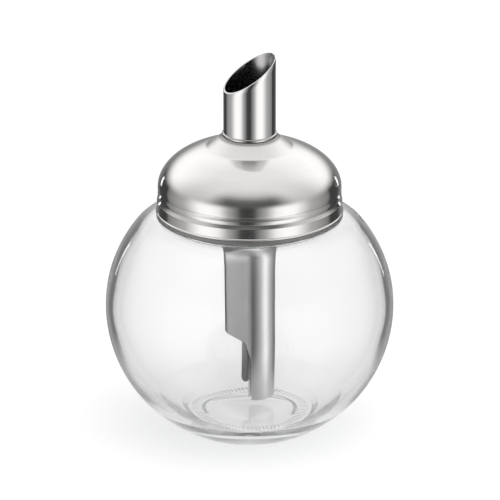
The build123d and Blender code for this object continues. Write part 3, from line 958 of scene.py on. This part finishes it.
def make_camera():
    """Long-lens camera in front of the jar and a little above it."""
    camera = bpy.data.cameras.new("camera")
    camera.lens = LENS
    camera.sensor_width = FILM
    camera.clip_end = 20
    turn, rise = radians(VIEW_TURN), radians(VIEW_RISE)
    toward = Vector((-sin(turn) * cos(rise), -cos(turn) * cos(rise), sin(rise)))
    aim = Vector((0, 0, AIM_HEIGHT)) + AIM_RIGHT * Vector((cos(turn), -sin(turn), 0))
    bpy.context.scene.camera = aimed("camera", camera, aim + toward * FRAME_WIDTH * LENS / FILM, aim)


# ---------------- settings ----------------

# What settings of one kind have in common.
COLOUR = {"subtype": "COLOR", "min": 0, "max": 1}
SHARE = {"subtype": "FACTOR", "min": 0, "max": 1}
FINE = {"unit": "LENGTH", "precision": 6}


class DispenserJarSettings(bpy.types.PropertyGroup):
    """Sizes and colours of the glass jar."""
    wave: FloatProperty(
        name="Waviness", description="How far the inside of the pressed glass wanders",
        default=0.08 * MM, min=0, max=0.4 * MM, **FINE)
    teeth: IntProperty(
        name="Teeth", description="Number of fine teeth under the standing ring", default=90, min=12, max=160)
    tooth_depth: FloatProperty(
        name="Tooth depth", description="Depth of those teeth", default=0.2 * MM, min=0, max=0.5 * MM, **FINE)
    rim_round: FloatProperty(
        name="Rim round", description="Rounding of the rim", default=0.8 * MM, min=0.1 * MM, max=1.3 * MM,
        **FINE)
    tint: FloatVectorProperty(
        name="Tint", description="Colour of light through the glass", default=(0.977, 0.976, 0.981), **COLOUR)
    smoothness: FloatProperty(
        name="Roughness", description="Roughness of the fire-polished face", default=0.0, **SHARE)


class DispenserLidSettings(bpy.types.PropertyGroup):
    """Finish of the steel lid."""
    colour: FloatVectorProperty(
        name="Colour", description="Colour of the steel", default=(0.80, 0.79, 0.775), **COLOUR)
    roughness: FloatProperty(
        name="Roughness", description="Roughness of the spun steel", default=0.08, **SHARE)
    line_depth: FloatProperty(
        name="Line depth", description="Depth of the spun lines", default=0.002 * MM, min=0, max=0.1 * MM,
        **FINE)


class DispenserTubeSettings(bpy.types.PropertyGroup):
    """Finish of the spout and dosing tube."""
    colour: FloatVectorProperty(
        name="Colour", description="Colour of the steel", default=(0.80, 0.79, 0.785), **COLOUR)
    polished: FloatProperty(
        name="Spout roughness", description="Roughness of the polished spout", default=0.06, **SHARE)
    satin: FloatProperty(
        name="Tube roughness", description="Roughness of the satin tube below the lid", default=0.31, **SHARE)


class DispenserFittingSettings(bpy.types.PropertyGroup):
    """Colours of what holds the tube and seals the jar."""
    # The collar is darker than the lid's steel: partly the joint's own colour, partly painted shade at the
    # spout's foot.
    collar: FloatVectorProperty(
        name="Collar", description="Colour of the spout's collar", default=(0.62, 0.60, 0.59), **COLOUR)
    plastic: FloatVectorProperty(
        name="Plastic", description="Colour of the insert in the lid", default=(0.86, 0.86, 0.84), **COLOUR)
    silicone: FloatVectorProperty(
        name="Silicone", description="Colour of the seals", default=(0.82, 0.82, 0.80), **COLOUR)
    inner_steel: FloatVectorProperty(
        name="Inner steel", description="Colour of the retainer, flap and pin", default=(0.72, 0.72, 0.71),
        **COLOUR)


class DispenserStageSettings(bpy.types.PropertyGroup):
    """Floor and light."""
    floor: FloatVectorProperty(
        name="Floor", description="Colour of the floor", default=(0.5, 0.5, 0.5), **COLOUR)
    white: FloatVectorProperty(
        name="Background", description="Colour of the room as it is seen", default=(1.0, 1.0, 1.0), **COLOUR)
    fill: FloatProperty(name="Fill", description="Even light from all round", default=0.7, min=0, max=2)
    lamp: FloatProperty(
        name="Lamp", description="Power of the soft lamp overhead", unit="POWER", default=6.0, min=0, max=100)


# ---------------- operators ----------------

class DISPENSER_OT_jar(bpy.types.Operator):
    """Make the glass jar"""
    bl_idname = "dispenser.jar"
    bl_label = "Glass Jar"
    bl_options = {"REGISTER", "UNDO"}

    def execute(self, context):
        chosen = context.scene.dispenser_jar
        jar = make_jar_mesh(chosen.wave / MM, chosen.teeth, chosen.tooth_depth / MM, chosen.rim_round / MM)
        dress(jar, clear_glass("clear glass", chosen.tint, chosen.smoothness))
        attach(jar, "jar")
        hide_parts("glass_jar")
        return {"FINISHED"}


class DISPENSER_OT_lid(bpy.types.Operator):
    """Make the steel lid"""
    bl_idname = "dispenser.lid"
    bl_label = "Steel Lid"
    bl_options = {"REGISTER", "UNDO"}

    def execute(self, context):
        chosen = context.scene.dispenser_lid
        lid = make_lid_mesh()
        dress(lid, steel("spun steel", chosen.colour, chosen.roughness, chosen.line_depth, stretch=0.4,
                         shade_and_wear=lid_shade_and_wear))
        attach(lid, "lid")
        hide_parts("cap_shell")
        return {"FINISHED"}


class DISPENSER_OT_tube(bpy.types.Operator):
    """Make the spout and dosing tube"""
    bl_idname = "dispenser.tube"
    bl_label = "Dosing Tube"
    bl_options = {"REGISTER", "UNDO"}

    def execute(self, context):
        chosen = context.scene.dispenser_tube
        tube = make_tube_mesh()
        dress(tube, tube_steel("tube steel", chosen.colour, chosen.polished, chosen.satin, CONE_TOP * MM))
        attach(tube, "lid")
        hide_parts("dosing_tube")
        return {"FINISHED"}


class DISPENSER_OT_fittings(bpy.types.Operator):
    """Finish the collar, the insert, the seals, the retainer, the flap and its pin"""
    bl_idname = "dispenser.fittings"
    bl_label = "Fittings"
    bl_options = {"REGISTER", "UNDO"}

    def execute(self, context):
        chosen = context.scene.dispenser_fittings
        plastic = moulded("moulded plastic", chosen.plastic, roughness=0.42, grain=0.004 * MM, soft=0.1)
        silicone = moulded("silicone", chosen.silicone, roughness=0.55, grain=0.008 * MM, soft=0.3)
        # The collar's darker colour is partly painted shade at the spout's foot.
        bright = steel("collar steel", chosen.collar, roughness=0.12, line_depth=0.001 * MM)
        stamped = steel("stamped steel", chosen.inner_steel, roughness=0.28, line_depth=0.003 * MM, lines=0.4,
                        density=3.0)
        tumbled = steel("tumbled steel", chosen.inner_steel, roughness=0.22, line_depth=0.002 * MM, lines=0.3,
                        density=4.0, along=True)
        finishes = {"cap_insert": plastic, "rim_seal": silicone, "spout_seal": silicone,
                    "tube_collar": bright, "tube_retainer": stamped,
                    "flap_disc": tumbled, "flap_pin": tumbled}
        for node, material in finishes.items():
            dress(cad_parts[node], material)
        return {"FINISHED"}


class DISPENSER_OT_stage(bpy.types.Operator):
    """Make the floor, the light and the camera"""
    bl_idname = "dispenser.stage"
    bl_label = "Stage"
    bl_options = {"REGISTER", "UNDO"}

    def execute(self, context):
        chosen = context.scene.dispenser_stage
        floor = make_floor(chosen.floor)
        context.scene.world = studio_world(chosen.white, chosen.fill)
        make_lamp(chosen.lamp)
        make_camera()
        context.scene.view_settings.view_transform = "Standard"
        return {"FINISHED"}


class DISPENSER_PT_panel(bpy.types.Panel):
    """Lists the pieces and their settings"""
    bl_idname = "DISPENSER_PT_panel"
    bl_label = "Sugar Dispenser"
    bl_space_type = "VIEW_3D"
    bl_region_type = "UI"
    bl_category = "Dispenser"

    def draw(self, context):
        for operator, _, name in PIECES:
            box = self.layout.box()
            chosen = getattr(context.scene, name)
            for setting in chosen.__annotations__:
                box.prop(chosen, setting)
            box.operator(operator.bl_idname)


# Each piece's operator, its settings and their name in the scene.
PIECES = [
    (DISPENSER_OT_jar, DispenserJarSettings, "dispenser_jar"),
    (DISPENSER_OT_lid, DispenserLidSettings, "dispenser_lid"),
    (DISPENSER_OT_tube, DispenserTubeSettings, "dispenser_tube"),
    (DISPENSER_OT_fittings, DispenserFittingSettings, "dispenser_fittings"),
    (DISPENSER_OT_stage, DispenserStageSettings, "dispenser_stage"),
]


def register():
    for operator, settings, name in PIECES:
        bpy.utils.register_class(settings)
        bpy.utils.register_class(operator)
        setattr(bpy.types.Scene, name, PointerProperty(type=settings))
    bpy.utils.register_class(DISPENSER_PT_panel)


def unregister():
    bpy.utils.unregister_class(DISPENSER_PT_panel)
    for operator, settings, name in reversed(PIECES):
        delattr(bpy.types.Scene, name)
        bpy.utils.unregister_class(operator)
        bpy.utils.unregister_class(settings)


def main():
    """Make every piece in order."""
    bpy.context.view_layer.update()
    register()
    bpy.ops.dispenser.jar()
    bpy.ops.dispenser.lid()
    bpy.ops.dispenser.tube()
    bpy.ops.dispenser.fittings()
    bpy.ops.dispenser.stage()


if __name__ == "__main__":
    main()
